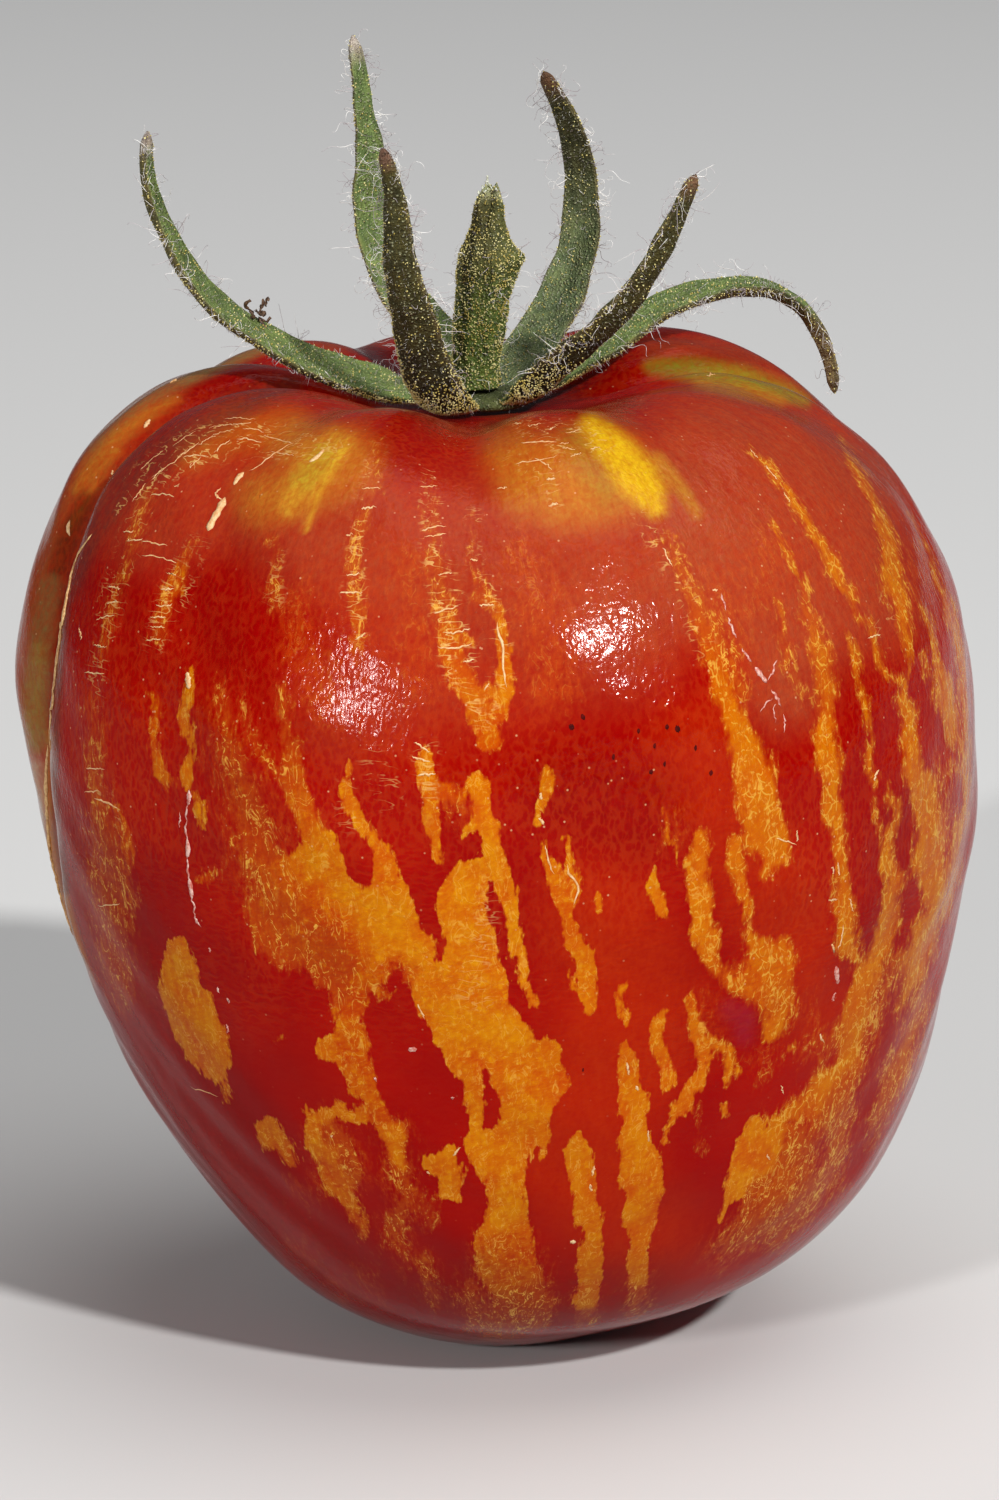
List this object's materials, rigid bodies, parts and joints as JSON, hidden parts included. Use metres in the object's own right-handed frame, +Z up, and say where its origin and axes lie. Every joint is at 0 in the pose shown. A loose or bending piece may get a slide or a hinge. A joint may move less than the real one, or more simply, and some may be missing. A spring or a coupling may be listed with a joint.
{
  "type": "striped tomato with its calyx",
  "caption": "Ripe striped tomato with a lobed skin, its green calyx of curled sepals and a stub of stalk, standing on its blossom end.",
  "frame": {"origin": "centre of the small flat spot at the blossom end that the fruit rests on", "axes": "+Z up along the fruit from the flat spot to the stalk, -Y the side that shows best, +X to that side's right"},
  "size_m": [0.0599, 0.0595, 0.0803],
  "materials": {
    "skin": "satin red skin with ragged golden orange stripes, finely wrinkled",
    "sepal": "matte green leaf, finely haired, with brown dried tips",
    "stalk": "matte green stem with pale dots, torn and dry at its end"
  },
  "bodies": {
    "root": {"fruit": "skin", "calyx": "sepal", "stalk": "stalk"}
  },
  "joints": []
}
